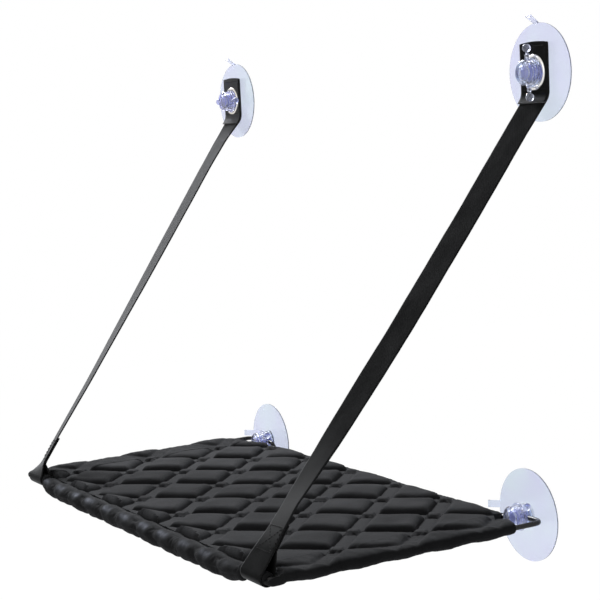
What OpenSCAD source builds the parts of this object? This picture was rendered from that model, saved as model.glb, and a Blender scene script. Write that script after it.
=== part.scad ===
// Cat perch that hangs on a window: a quilted mat on a wire frame, held by
// four suction cups. The window's face is the plane y = 0, the room is
// towards -Y and the origin lies midway between the two lower cups.

/* [Layout] */
// Distance between the axes of the two lower suction cups
lower_span = 520; // [480:1:540]
// Distance between the axes of the two upper suction cups
upper_span = 604; // [580:1:640]
// Height of the upper cups above the lower cups
upper_rise = 420; // [380:1:460]

/* [Suction cups] */
// Diameter of a suction cup
cup_d = 90; // [80:1:96]
// Thickness of the cup at its rim
cup_rim_t = 1.2; // [1:0.1:1.6]
// Thickness of the cup where it meets its boss
cup_root_t = 3.2; // [2.6:0.1:3.6]
// Width of the flat ring that seals on the glass
cup_seal_w = 3; // [2:0.5:5]
// Depth of the hollow behind the seal
cup_hollow = 0.8; // [0.5:0.1:1]
// Diameter of the boss
boss_d = 23.5; // [22:0.1:24]
// Height of the boss above the glass
boss_h = 8; // [7.6:0.1:8.2]
// Width of the release tab on the rim
tab_w = 7; // [5:0.5:10]
// Length of the release tab, which leans out from the rim
tab_l = 11; // [8:0.5:13]

/* [Studs and wing nuts] */
// Diameter of the threaded stud, which the wire passes through
stud_d = 13.4; // [12:0.1:13.8]
// Height of the stud's end above the glass
stud_h = 19.4; // [18:0.1:19.6]
// Diameter of the wing nut's cap
nut_d = 23.5; // [22:0.1:24]
// Height of the wing nut
nut_h = 11.6; // [11.4:0.1:12.4]
// Diameter of the wing nut's flange
nut_flange_d = 27; // [25:0.5:28]
// Distance between the centres of the nut's two round knobs
knob_span = 44.5; // [42:0.5:45]
// Diameter of a knob
knob_d = 7.8; // [7:0.1:8]

/* [Wire frame] */
// Diameter of the wire
wire_d = 5; // [4.5:0.1:5.4]
// Distance of the wire's rear bar from the glass
wire_h = 8.8; // [8.7:0.1:9]
// Width of the frame, between the centres of its side bars
frame_w = 584; // [580:1:590]
// Depth of the frame, from rear bar to front bar
frame_depth = 291; // [270:1:310]
// How much lower the front bar hangs than the cups
frame_fall = 3.5; // [0:0.5:6]
// How much lower the rear bar runs between the cups
bar_drop = 6.1; // [5.2:0.3:6.4]

/* [Mat] */
// Distance of the quilted pad's sides from the side bars' centres
pad_side_gap = 37; // [36:1:40]
// Thickness of the pad along its stitched bands
pad_t = 5; // [4:0.5:6]
// Height of a quilted puff above the bands
puff_h = 5; // [3:0.5:5.5]
// Distance between two crossings of the bands
quilt_pitch = 92; // [88:1:100]
// Width of a stitched band
band_w = 15; // [12:1:18]
// Diameter of the gathered roll along the front edge
roll_d = 19; // [18:0.5:20]

/* [Straps] */
// Width of the webbing
web_w = 38; // [36:1:39]
// Thickness of the webbing
web_t = 1.6; // [1.4:0.1:1.8]
// Distance between the feet of the two straps
foot_span = 532; // [530:1:533]
// Width of the sewn patch
patch_w = 41; // [40:0.5:44]
// Height of the sewn patch's flat part
patch_h = 44.5; // [43:0.5:48]
// Outer diameter of the grommet
grommet_d = 33; // [31:0.5:34]
// Inner diameter of the grommet
grommet_hole_d = 25; // [24.5:0.5:27]

/* [Hidden] */
$fn = 64;

// Overrun of cuts, and the wire's running clearance in the neck's hole
over = 1;
bore_gap = 0.25;

// Suction cup
cup_r = cup_d / 2;
boss_r = boss_d / 2;
cup_shoulder_w = 7;
cup_shoulder_t = 1.8;
cup_hollow_floor_r = boss_r;
boss_round = 1;
boss_collar_w = 1.6;
boss_collar_h = 1;
tab_t = cup_rim_t;
tab_root = 1;
tab_bead_d = 2.2;
// Lean of the tab from the glass, its turn, and the turn of the upper cups, in degrees
tab_lean = 52;
tab_turn = 86;
upper_cup_turn = -84;

// Stud, whose head is moulded into the boss
head_d = 18.4;
head_t = 1.4;
head_h = 3.6;
stud_chamfer = 1;
thread_gap = 0.25;

// Wing nut: the upper ones sit over the grommets, the lower ones over the wire
upper_seat_h = 9.6;
lower_seat_gap = 0.3;
nut_round = 2.4;
nut_taper = 0.4;
nut_flange_t = 1.6;
nut_dish_d = 12;
nut_dish_depth = 0.8;
nut_roof = 1.4;
knob_h = 4.3;
arm_t = 3.2;
arm_root_w = 6;
arm_tip_w = 2.6;
// Turn of each pair of wings, in degrees
upper_left_turn = 0;
upper_right_turn = 93;
lower_left_turn = 28;
lower_right_turn = 36;

// Wire frame
wire_r = wire_d / 2;
lower_seat_h = wire_h + wire_r + lower_seat_gap;
bend_r = 9;
joggle_r = 10;
joggle_gap = 1.3;
wire_end_gap = 0.5;
joiner_wall = 1;
joiner_r = wire_r + joiner_wall;
joiner_l = 50;
tilt = asin(frame_fall / frame_depth);
joggle_turn = asin(3 / 5);
joggle_link = (bar_drop - 2 * joggle_r * (1 - cos(joggle_turn))) / sin(joggle_turn);
joggle_l = 2 * joggle_r * sin(joggle_turn) + joggle_link * cos(joggle_turn);
joggle_end = lower_span / 2 - stud_d / 2 - boss_d / 4 - joggle_gap;
joggle_start = joggle_end - joggle_l;

// Mat, in the plane of the frame: widths along X, depths from the rear bar
cloth_t = 1.1;
pad_r = frame_w / 2 - pad_side_gap;
pad_top = -1;
pad_rear = 12;
pad_front_gap = 6.4;
pad_front = frame_depth - pad_front_gap;
nut_reach = lower_seat_h + nut_h - wire_h;
nut_clear = 6.1;
corner_rear = nut_reach + nut_clear;
pad_corner_in = 18;
pad_corner_l = 6.5;
pad_corner_x = lower_span / 2 - nut_d / 2 - pad_corner_in;
pad_corner = corner_rear + pad_corner_l;
pad_slope = 8;
puff_side = quilt_pitch / sqrt(2) - band_w;
puff_wall_share = 0.58;
puff_wall_in = 1.5;
puff_top_in = 6.5;
puff_corner = 5;
puff_sink = 1;
quilt_x = 18;
quilt_depth = 154;
quilt_columns = 4;
quilt_rows = 2;
miter_share = tan(22.5);
hem_r = wire_r + cloth_t;
side_hem_gap = 11;
side_hem_front = frame_depth - side_hem_gap;
side_hem_cut_x = lower_span / 2 + nut_d / 2;
side_hem_cut_depth = 31;
rear_hem_gap = 0.7;
rear_hem_r = joggle_start - rear_hem_gap;
roll_fall = 5.6;
roll_out = 0.8;
roll_end_round = 2;
roll_r = roll_d / 2;
strap_clear = 2.5;
roll_half = foot_span / 2 - web_w / 2 - strap_clear;
front_hem_half = frame_w / 2 - bend_r;

// Strap: it leaves the patch straight down, bends out and runs to the front bar
lay_gap = 0.1;
web_gap = 0.3;
foot_slack = 0.9;
washer_h = 3.8;
washer_t = 0.6;
web_h = washer_h + washer_t;
patch_top = 28;
web_top = 26;
web_bend_r = 16;
web_bend_drop = upper_rise + patch_top - patch_h;
web_mid_h = web_h + web_t / 2;
foot_hem_r = 5.9;
foot_r = foot_hem_r + web_gap + web_t / 2;
slot_depth = frame_depth - foot_r - web_t - web_gap - foot_slack;
tail_rise = 24;
tail_l = 48;
tail_steps = 3;
tail_gap = web_t + web_gap;
patch_curve_l = 3;
patch_bow = 1.5;
strap_twist_right = 9;
strap_twist_left = 30;
twist_peak_share = 0.88;
bend_steps = 6;
run_steps = 14;
loop_steps = 16;
hole_gap = 0.8;
ring_h = 1.4;

// Direction of the strap's run, from the top bend to the loop round the bar
foot_y = -wire_h - frame_depth * cos(tilt);
foot_z = -frame_fall;
bend_y = -web_mid_h - web_bend_r;
run_y = foot_y - bend_y;
run_z = foot_z - web_bend_drop;
run_l = norm([run_y, run_z]);
slope = atan2(-run_y, -run_z) + asin((web_bend_r + foot_r) / run_l);
up_run = [sin(slope), cos(slope)];
out_run = [-cos(slope), sin(slope)];
tail_from = foot_r - tail_gap;
tail_reach = norm([tail_rise, tail_from]);
tail_turn = acos(foot_r / tail_reach) - asin(tail_from / tail_reach);
head_point = [bend_y, web_bend_drop] - web_bend_r * out_run;
foot_point = [foot_y, foot_z] + foot_r * out_run;
run_from_head = norm(head_point - foot_point);

// A piece that stands on the glass, with its axis towards the room
module on_glass(x, z, turn = 0) {
    translate([x, 0, z]) rotate([90, 0, 0]) rotate([0, 0, turn]) children();
}

// The four cup places
module at_upper_left(turn = 0) { on_glass(-upper_span / 2, upper_rise, turn) children(); }
module at_upper_right(turn = 0) { on_glass(upper_span / 2, upper_rise, turn) children(); }
module at_lower_left(turn = 0) { on_glass(-lower_span / 2, 0, turn) children(); }
module at_lower_right(turn = 0) { on_glass(lower_span / 2, 0, turn) children(); }

// The frame's own plane, which hangs from the rear bar
module in_frame() {
    translate([0, -wire_h, 0]) rotate([tilt, 0, 0]) children();
}

module stud() {
    color("lightsteelblue") difference() {
        union() {
            translate([0, 0, head_h]) cylinder(d = head_d, h = head_t);
            translate([0, 0, head_h]) cylinder(d = stud_d, h = stud_h - stud_chamfer - head_h);
            translate([0, 0, stud_h - stud_chamfer])
                cylinder(d1 = stud_d, d2 = stud_d - 2 * stud_chamfer, h = stud_chamfer);
        }
        wire_passage(stud_d);
    }
}

// The hole for the wire, across the stud and over the boss
module wire_passage(width) {
    translate([-width / 2 - over, 0, wire_h]) rotate([0, 90, 0])
        cylinder(r = wire_r + bore_gap, h = width + 2 * over);
}

module cup_profile() {
    polygon([
        [0, cup_hollow],
        [cup_hollow_floor_r, cup_hollow],
        [cup_r - cup_seal_w, 0],
        [cup_r, 0],
        [cup_r, cup_rim_t],
        [cup_r - cup_shoulder_w, cup_shoulder_t],
        [boss_r + boss_collar_w, cup_root_t],
        [boss_r, cup_root_t + boss_collar_h],
        [boss_r, boss_h - boss_round],
        [boss_r - boss_round, boss_h],
        [0, boss_h]
    ]);
}

// Release tab: it leans out from the rim and ends in a bead for the finger
module release_tab() {
    translate([0, cup_r - tab_root, 0]) rotate([tab_lean, 0, 0]) {
        translate([-tab_w / 2, 0, 0]) cube([tab_w, tab_root + tab_l, tab_t]);
        translate([-tab_w / 2, tab_root + tab_l, tab_t / 2]) rotate([0, 90, 0])
            cylinder(d = tab_bead_d, h = tab_w, $fn = 24);
    }
}

module suction_cup() {
    color("lavender") difference() {
        union() {
            rotate_extrude($fn = 128) cup_profile();
            rotate(tab_turn) release_tab();
        }
        translate([0, 0, head_h]) cylinder(d = head_d, h = head_t);
        translate([0, 0, head_h]) cylinder(d = stud_d, h = boss_h - head_h + over);
        wire_passage(boss_d);
    }
}

// Wing: an arm that narrows towards its round knob
module nut_wing() {
    tip = knob_span / 2;
    translate([0, arm_t / 2, knob_h]) rotate([90, 0, 0]) linear_extrude(arm_t) polygon([
        [nut_d / 2 - arm_t, -arm_root_w / 2],
        [tip, -arm_tip_w / 2],
        [tip, arm_tip_w / 2],
        [nut_d / 2 - arm_t, arm_root_w / 2]
    ]);
    translate([tip, 0, knob_h]) sphere(d = knob_d, $fn = 40);
}

// Cap of the wing nut: slightly tapered, with a rounded rim
module nut_cap() {
    wall_h = nut_h - nut_round;
    top_r = nut_d / 2 - nut_taper;
    cylinder(r1 = nut_d / 2, r2 = top_r, h = wall_h);
    translate([0, 0, wall_h]) {
        rotate_extrude() translate([top_r - nut_round, 0])
            intersection() {
                circle(r = nut_round);
                square(nut_round);
            }
        cylinder(r = top_r - nut_round, h = nut_round);
    }
}

module wing_nut(seat_h) {
    color("lavender") translate([0, 0, seat_h]) difference() {
        union() {
            cylinder(d = nut_flange_d, h = nut_flange_t);
            nut_cap();
            for (turn = [0, 180]) rotate(turn) nut_wing();
        }
        translate([0, 0, -over])
            cylinder(d = stud_d + 2 * thread_gap, h = nut_h - nut_roof + over);
        translate([0, 0, nut_h - nut_dish_depth])
            cylinder(d1 = nut_dish_d - 2 * nut_dish_depth, d2 = nut_dish_d + 2 * over,
                h = nut_dish_depth + over);
    }
}

// Half of the wire frame, on the side of +X
module wire_bar(length) {
    rotate([0, 90, 0]) cylinder(r = wire_r, h = length);
}

module wire_bend(radius, turn) {
    rotate_extrude(angle = turn) translate([radius, 0]) circle(r = wire_r, $fn = 32);
}

module wire_half() {
    corner = frame_w / 2 - bend_r;
    translate([wire_end_gap, 0, -bar_drop]) wire_bar(joggle_start - wire_end_gap);
    translate([joggle_start, 0, joggle_r - bar_drop]) rotate([90, 0, 0])
        rotate([0, 0, -90]) wire_bend(joggle_r, joggle_turn);
    translate([joggle_start + joggle_r * sin(joggle_turn), 0,
        joggle_r * (1 - cos(joggle_turn)) - bar_drop])
        rotate([0, -joggle_turn, 0]) wire_bar(joggle_link);
    translate([joggle_end, 0, -joggle_r]) rotate([90, 0, 0])
        rotate([0, 0, 90]) wire_bend(joggle_r, joggle_turn);
    translate([joggle_end, 0, 0]) wire_bar(corner - joggle_end);
    translate([corner, -bend_r, 0]) wire_bend(bend_r, 90);
    translate([frame_w / 2, -bend_r, 0]) rotate([90, 0, 0])
        cylinder(r = wire_r, h = frame_depth - 2 * bend_r);
    translate([corner, bend_r - frame_depth, 0]) rotate([0, 0, -90]) wire_bend(bend_r, 90);
    translate([wire_end_gap, -frame_depth, 0]) wire_bar(corner - wire_end_gap);
}

module frame_wire() {
    color("black") wire_half();
}

module wire_joiner() {
    color("dimgray") translate([-joiner_l / 2, 0, 0]) rotate([0, 90, 0]) difference() {
        cylinder(r = joiner_r, h = joiner_l);
        translate([0, 0, -over]) cylinder(r = wire_r, h = joiner_l + 2 * over);
    }
}

// Outline of the pad in the frame's plane, drawn in by a distance
function pad_outline(inset) = [
    [-(pad_corner_x - inset * miter_share), -(pad_rear + inset)],
    [-(pad_r - inset), -(pad_corner + inset * miter_share)],
    [-(pad_r - inset), -(pad_front - inset)],
    [pad_r - inset, -(pad_front - inset)],
    [pad_r - inset, -(pad_corner + inset * miter_share)],
    [pad_corner_x - inset * miter_share, -(pad_rear + inset)]
];

// Points of a flat outline at a height
function raised(outline, z) = [for (p = outline) [p[0], p[1], z]];

// Faces of a closed body made of rings with the same number of points
function ring_faces(rings, count) = concat(
    [for (r = [0 : rings - 2], i = [0 : count - 1])
        [r * count + i, (r + 1) * count + i, (r + 1) * count + (i + 1) % count]],
    [for (r = [0 : rings - 2], i = [0 : count - 1])
        [r * count + i, (r + 1) * count + (i + 1) % count, r * count + (i + 1) % count]],
    [for (i = [1 : count - 2]) [0, i, i + 1]],
    [for (i = [1 : count - 2]) let (top = (rings - 1) * count) [top, top + i + 1, top + i]]
);

// The pillow that the puffs stay inside: its sides slope in above the bands
module pad_limits() {
    top = pad_top + puff_h + over;
    slope_in = pad_slope * (puff_h + over) / puff_h;
    points = concat(
        raised(pad_outline(0), pad_top - pad_t - over),
        raised(pad_outline(0), pad_top),
        raised(pad_outline(slope_in), top)
    );
    polyhedron(points, ring_faces(3, 6));
}

// Cut-outs at the mat's front corners, where the straps' tails come up
module strap_slots() {
    for (side = [-1, 1]) translate([side * (roll_half + frame_w / 2), -slot_depth - roll_d, 0])
        cube([frame_w, 2 * roll_d, 2 * roll_d], center = true);
}

// One ring of a puff: a square with its corners cut
function puff_ring(side, cut, z) = let (h = side / 2) [
    [h, h - cut, z], [h - cut, h, z], [cut - h, h, z], [-h, h - cut, z],
    [-h, cut - h, z], [cut - h, -h, z], [h - cut, -h, z], [h, cut - h, z]
];

module puff() {
    points = concat(
        puff_ring(puff_side, puff_corner, -puff_sink),
        puff_ring(puff_side - 2 * puff_wall_in, puff_corner, puff_h * puff_wall_share),
        puff_ring(puff_side - 2 * puff_top_in, puff_corner, puff_h)
    );
    polyhedron(points, ring_faces(3, 8));
}

// Puffs stand between the crossings, and those that miss the pad are left out
module puff_grid() {
    half = quilt_pitch / 2;
    reach = puff_side / sqrt(2) - puff_corner;
    for (row = [-quilt_rows : quilt_rows], column = [-quilt_columns : quilt_columns])
        for (shift = [0, half]) {
            x = quilt_x + half + column * quilt_pitch + shift;
            depth = quilt_depth - row * quilt_pitch - shift;
            if (abs(x) < pad_r + reach && depth > pad_rear - reach && depth < pad_front + reach)
                translate([x, -depth, pad_top]) rotate([0, 0, 45]) puff();
        }
}

module quilted_pad() {
    color("#2e2e31") difference() {
        intersection() {
            union() {
                translate([0, 0, pad_top - pad_t]) linear_extrude(pad_t) polygon(pad_outline(0));
                puff_grid();
            }
            pad_limits();
        }
        strap_slots();
    }
}

module pad_backing() {
    color("#1d1d1f") difference() {
        translate([0, 0, pad_top - pad_t - cloth_t]) linear_extrude(cloth_t)
            polygon(pad_outline(0));
        strap_slots();
    }
}

// Hem round the rear bar, with its flap to the pad
module rear_hem() {
    color("#262628") difference() {
        translate([-rear_hem_r, 0, 0]) rotate([90, 0, 90]) linear_extrude(2 * rear_hem_r)
            union() {
                translate([0, -bar_drop]) circle(r = hem_r);
                polygon([
                    [0, hem_r - bar_drop],
                    [-pad_rear, hem_r - bar_drop],
                    [-pad_rear, pad_top - pad_t - cloth_t],
                    [0, -hem_r - bar_drop]
                ]);
            }
        translate([-rear_hem_r - over, 0, -bar_drop]) wire_bar(2 * (rear_hem_r + over));
        translate([-joiner_l / 2, 0, -bar_drop]) rotate([0, 90, 0])
            cylinder(r = joiner_r, h = joiner_l);
    }
}

// Gathered roll along the front bar, and the padded hem under each strap's foot
module front_hem() {
    color("#262628") difference() {
        union() {
            intersection() {
                translate([-roll_half, -frame_depth - roll_out, -roll_fall]) rotate([0, 90, 0])
                    gathered_roll(2 * roll_half);
                translate([-roll_half, -frame_depth - 2 * roll_d, -2 * roll_d])
                    cube([2 * roll_half, frame_depth + 2 * roll_d - pad_front, 4 * roll_d]);
            }
            for (side = [0, 1]) mirror([side, 0, 0])
                translate([roll_half - 2 * roll_end_round, -frame_depth, 0]) rotate([0, 90, 0])
                    cylinder(r = foot_hem_r, h = front_hem_half - roll_half + 2 * roll_end_round);
        }
        translate([-frame_w / 2, -frame_depth, 0]) wire_bar(frame_w);
        translate([-joiner_l / 2, -frame_depth, 0]) rotate([0, 90, 0])
            cylinder(r = joiner_r, h = joiner_l);
    }
}

module gathered_roll(length) {
    small_r = roll_r - roll_end_round;
    cylinder(r1 = small_r, r2 = roll_r, h = roll_end_round);
    translate([0, 0, roll_end_round]) cylinder(r = roll_r, h = length - 2 * roll_end_round);
    translate([0, 0, length - roll_end_round])
        cylinder(r1 = roll_r, r2 = small_r, h = roll_end_round);
}

// Padded sleeve from the pad's side to the side bar, with its rear corner cut away
module side_hem() {
    reach = frame_w / 2;
    cut_w = reach + hem_r - side_hem_cut_x;
    color("#262628") difference() {
        translate([0, -corner_rear, 0]) rotate([90, 0, 0])
            linear_extrude(side_hem_front - corner_rear) union() {
                translate([reach, 0]) circle(r = hem_r);
                polygon([
                    [reach, hem_r],
                    [pad_r, pad_top],
                    [pad_r, pad_top - pad_t],
                    [reach, -hem_r]
                ]);
            }
        translate([reach, over, 0]) rotate([90, 0, 0])
            cylinder(r = wire_r, h = frame_depth + 2 * over);
        translate([0, 0, -roll_d]) linear_extrude(2 * roll_d) polygon([
            [side_hem_cut_x, -corner_rear],
            [side_hem_cut_x + cut_w, -side_hem_cut_depth],
            [side_hem_cut_x + cut_w + over, 0],
            [side_hem_cut_x, 0]
        ]);
    }
}

// Points along the strap's middle, from the top of its patch to the tail's end
function bend_point(a, radius) =
    [bend_y, web_bend_drop] + radius * [cos(a), -sin(a)];
function loop_point(a) =
    [foot_y, foot_z] + foot_r * (cos(a) * up_run + sin(a) * out_run);
function run_point(rise) = foot_point + rise * up_run;
function run_x(z) = upper_span / 2
    - (upper_span - foot_span) / 2 * min(1, max(0, (head_point[1] - z)
        / (head_point[1] - foot_point[1])));
function twist_at(rise) = let (t = 1 - rise / run_from_head) t < twist_peak_share
    ? pow(sin(90 * t / twist_peak_share), 2)
    : pow(cos(90 * (t - twist_peak_share) / (1 - twist_peak_share)), 2);

// Heights on the run where the tail lies against the strap, and those below them
tail_rises = [for (i = [0 : tail_steps]) tail_l - i * (tail_l - tail_rise) / tail_steps];
foot_rises = [for (i = [1 : tail_steps]) tail_rise * (1 - i / tail_steps)];

// Each entry: y, z, direction down the strap in degrees, twist share, lift off the run
strap_route = concat(
    [[-web_mid_h, upper_rise + web_top, 0, 0, 0]],
    [for (i = [0 : bend_steps]) let (a = slope * i / bend_steps, p = bend_point(a, web_bend_r))
        [p[0], p[1], a, 0, 0]],
    [for (i = [1 : run_steps - 1])
        let (rise = run_from_head - (run_from_head - tail_l) * i / run_steps, p = run_point(rise))
        [p[0], p[1], slope, twist_at(rise), 0]],
    [for (rise = concat(tail_rises, foot_rises)) let (p = run_point(rise))
        [p[0], p[1], slope, twist_at(rise), 0]],
    [for (i = [1 : loop_steps]) let (w = (270 - tail_turn) * i / loop_steps, p = loop_point(90 + w))
        [p[0], p[1], slope - w, 0, 0]],
    [for (i = [0 : tail_steps]) let (rise = tail_rises[tail_steps - i], p = run_point(rise))
        [p[0], p[1], slope - 180, -twist_at(rise), tail_gap]]
);

// Four corners of the webbing at one point of its route
function web_corners(p, twist) = let (
        down = p[2],
        n = [0, -cos(down), sin(down)],
        turn = twist * p[3],
        wide = [cos(turn), 0, 0] + sin(turn) * n,
        thick = cos(turn) * n - [sin(turn), 0, 0],
        mid = [run_x(p[1]), p[0], p[1]] + p[4] * thick
    ) [
        mid + wide * web_w / 2 + thick * web_t / 2,
        mid - wide * web_w / 2 + thick * web_t / 2,
        mid - wide * web_w / 2 - thick * web_t / 2,
        mid + wide * web_w / 2 - thick * web_t / 2
    ];

module strap(twist) {
    color("#2a2a2c") difference() {
        polyhedron([for (p = strap_route, c = web_corners(p, twist)) c],
            ring_faces(len(strap_route), 4));
        at_upper_right() cylinder(d = grommet_hole_d + 2 * hole_gap, h = wire_h);
    }
}

// Side view of the patch, as points of y and z: it follows the strap's first bend
function patch_profile(inner_r, top) = let (
        tip = -patch_curve_l * up_run,
        room_side = [for (i = [0 : bend_steps]) bend_point(slope * i / bend_steps, inner_r)],
        glass_side = [for (i = [bend_steps : -1 : 0])
            bend_point(slope * i / bend_steps, inner_r + web_t)]
    ) concat(
        [[room_side[0][0], top]],
        room_side,
        [room_side[bend_steps] + tip, glass_side[0] + tip],
        glass_side,
        [[glass_side[bend_steps][0], top]]
    );

// Patch sewn over the strap's top end
module strap_patch() {
    top = upper_rise + patch_top;
    bow_r = (pow(patch_w / 2, 2) + pow(patch_bow, 2)) / (2 * patch_bow);
    color("#232325") translate([upper_span / 2, 0, 0]) difference() {
        intersection() {
            translate([-patch_w / 2, 0, 0]) rotate([90, 0, 90]) linear_extrude(patch_w)
                polygon(patch_profile(web_bend_r - web_t / 2 - lay_gap - web_t, top));
            rotate([90, 0, 0]) linear_extrude(-bend_y) translate([0, top - bow_r])
                circle(r = bow_r, $fn = 256);
        }
        translate([0, 0, upper_rise]) rotate([90, 0, 0])
            cylinder(d = grommet_hole_d + 2 * hole_gap, h = wire_h + over);
    }
}

module grommet() {
    hole_r = grommet_hole_d / 2;
    face = web_h + 2 * web_t + lay_gap;
    ring_w = (grommet_d - grommet_hole_d) / 2;
    color("silver") rotate_extrude($fn = 96) polygon(concat(
        [[hole_r, washer_h]],
        [for (a = [0 : 15 : 180]) [hole_r + ring_w * (1 - cos(a)) / 2, face + ring_h * sin(a)]],
        [[hole_r + hole_gap, face], [hole_r + hole_gap, washer_h]]
    ));
}

module grommet_washer() {
    color("silver") translate([0, 0, washer_h]) difference() {
        cylinder(d = grommet_d, h = washer_t);
        translate([0, 0, -over])
            cylinder(d = grommet_hole_d + 2 * hole_gap, h = washer_t + 2 * over);
    }
}

at_upper_left(upper_cup_turn) suction_cup();  // suction_cup_upper_left
at_upper_right(upper_cup_turn) suction_cup();  // suction_cup_upper_right
at_lower_left() suction_cup();  // suction_cup_lower_left
at_lower_right() suction_cup();  // suction_cup_lower_right
at_upper_left(upper_cup_turn) stud();  // stud_upper_left
at_upper_right(upper_cup_turn) stud();  // stud_upper_right
at_lower_left() stud();  // stud_lower_left
at_lower_right() stud();  // stud_lower_right
at_upper_left(upper_left_turn) wing_nut(upper_seat_h);  // wing_nut_upper_left
at_upper_right(upper_right_turn) wing_nut(upper_seat_h);  // wing_nut_upper_right
at_lower_left(lower_left_turn) wing_nut(lower_seat_h);  // wing_nut_lower_left
at_lower_right(lower_right_turn) wing_nut(lower_seat_h);  // wing_nut_lower_right
mirror([1, 0, 0]) strap(-strap_twist_left);  // strap_left
strap(strap_twist_right);  // strap_right
mirror([1, 0, 0]) strap_patch();  // strap_patch_left
strap_patch();  // strap_patch_right
at_upper_left() grommet();  // grommet_left
at_upper_right() grommet();  // grommet_right
at_upper_left() grommet_washer();  // grommet_washer_left
at_upper_right() grommet_washer();  // grommet_washer_right
in_frame() mirror([1, 0, 0]) frame_wire();  // frame_wire_left
in_frame() frame_wire();  // frame_wire_right
in_frame() translate([0, -frame_depth, 0]) wire_joiner();  // front_wire_joiner
in_frame() translate([0, 0, -bar_drop]) wire_joiner();  // rear_wire_joiner
in_frame() quilted_pad();
in_frame() pad_backing();
in_frame() rear_hem();
in_frame() front_hem();
in_frame() mirror([1, 0, 0]) side_hem();  // side_hem_left
in_frame() side_hem();  // side_hem_right
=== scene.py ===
import itertools
import math

import bpy
import bmesh
import numpy as np
from mathutils import Matrix, Vector


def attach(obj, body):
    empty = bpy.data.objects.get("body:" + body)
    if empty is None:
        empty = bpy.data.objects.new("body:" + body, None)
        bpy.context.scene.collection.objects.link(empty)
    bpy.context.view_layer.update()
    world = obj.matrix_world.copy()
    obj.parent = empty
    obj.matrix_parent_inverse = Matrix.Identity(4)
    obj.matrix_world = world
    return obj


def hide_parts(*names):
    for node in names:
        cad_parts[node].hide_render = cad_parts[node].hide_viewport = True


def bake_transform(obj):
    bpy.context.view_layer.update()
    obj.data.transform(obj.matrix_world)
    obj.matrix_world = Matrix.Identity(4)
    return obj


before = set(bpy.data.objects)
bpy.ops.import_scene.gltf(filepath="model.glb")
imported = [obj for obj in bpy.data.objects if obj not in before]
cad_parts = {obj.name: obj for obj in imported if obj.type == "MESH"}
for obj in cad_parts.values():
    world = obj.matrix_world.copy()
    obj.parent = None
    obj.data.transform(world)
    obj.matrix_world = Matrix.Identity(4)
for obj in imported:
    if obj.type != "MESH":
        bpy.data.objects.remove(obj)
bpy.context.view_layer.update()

SIDES = {-1: "left", 1: "right"}

# Layout, as in the CAD model
UPPER_SPAN = 0.604
UPPER_RISE = 0.420
LOWER_SPAN = 0.520
WIRE_H = 0.0088
WIRE_HOLE_R = 0.00275
FRAME_DEPTH = 0.291
FRAME_FALL = 0.0035
TILT = math.asin(FRAME_FALL / FRAME_DEPTH)

# Quilt: puffs between bands that run at 45 degrees to the mat's edges
PAD_HALF = 0.255
PAD_REAR = 0.012
PAD_FRONT = 0.2846
PAD_CORNER_X = 0.23025
PAD_CORNER = 0.027
PAD_TOP = -0.001
PAD_T = 0.005
QUILT_PITCH = 0.092 / math.sqrt(2)
BAND_HALF = 0.0075
PUFF_HALF = QUILT_PITCH / 2 - BAND_HALF
QUILT_ROWS = 8
PUFF_X, PUFF_DEPTH = 0.064, 0.154
PUFF_H = 0.0068
PUFF_WALL = 0.0088
KNOT_H = 0.0036
KNOT_WALL = 0.0038
KNOT_BASE = 0.0003
BAND_SWELL = 0.0007
PUCKER_H = 0.00028
WRINKLE_H = 0.00022
HEM_SLOPE = 0.0037
FRONT_LIFT = 0.0036
FRONT_EASE = 0.024
BACKING_GAP = 0.0011
BACKING_RELIEF = -0.28

# Front roll
GATHER_PITCH = 0.046
ROLL_HALF = 0.2445
ROLL_R = 0.0102
ROLL_FALL = 0.0056
ROLL_OUT = 0.0008
ROLL_TAPER = 0.030
ROLL_HOLLOW = 0.0011
ROLL_CREASE = 0.0016
ROLL_PLEAT = 0.0009
# Turn round the roll where its painted highlight sits
HIGHLIGHT_TURN = math.radians(50)

# Top of the cloth from the mat to the side bar: x, height and share of the quilt's pattern
SLEEVE_TOP = [(0.2550, 0.0, 1.0), (0.2640, 0.0011, 0.90), (0.2740, 0.0028, 0.72),
              (0.2840, 0.0044, 0.46), (0.2915, 0.0048, 0.30), (0.2962, 0.0034, 0.16),
              (0.2972, -0.0004, 0.0)]

# Side sleeves: section points of x and height, and depths where the sleeve ends or narrows
SLEEVE_PROFILE = [(0.2505, -0.0045), (0.2535, -0.0012), (0.2580, -0.0006)]
SLEEVE_PROFILE += [(x, PAD_TOP + height) for x, height, share in SLEEVE_TOP[1:]]
SLEEVE_PROFILE += [(0.2938, -0.0052), (0.2850, -0.0074), (0.2720, -0.0080), (0.2600, -0.0076),
                   (0.2520, -0.0066)]
SLEEVE_INNER = 0.2505
SLEEVE_OUTER = 0.2972
SLEEVE_MIDDLE = -0.0012
SLEEVE_REAR = 0.0195
SLEEVE_FRONT = 0.2968
SCALLOP = 0.0010
FOOT_CLEAR = 0.2864
FOOT_FROM = 0.2765
FOOT_EASE = 0.0045

# Padded tubes under the straps' feet, and the hem round the rear bar with its section points
FOOT_SLEEVE = (0.2405, 0.2868)
FOOT_SLEEVE_R = 0.0059
REAR_HALF = 0.2300
REAR_MIDDLE = -0.0061
JOINER_REACH = 0.032
JOINER_SWELL = 0.34
REAR_PROFILE = [(0.0124, -0.0014), (0.0080, -0.0020), (0.0030, -0.0026), (-0.0020, -0.0034),
                (-0.0042, -0.0062), (-0.0026, -0.0094), (0.0016, -0.0104), (0.0070, -0.0092),
                (0.0124, -0.0068)]

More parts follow.
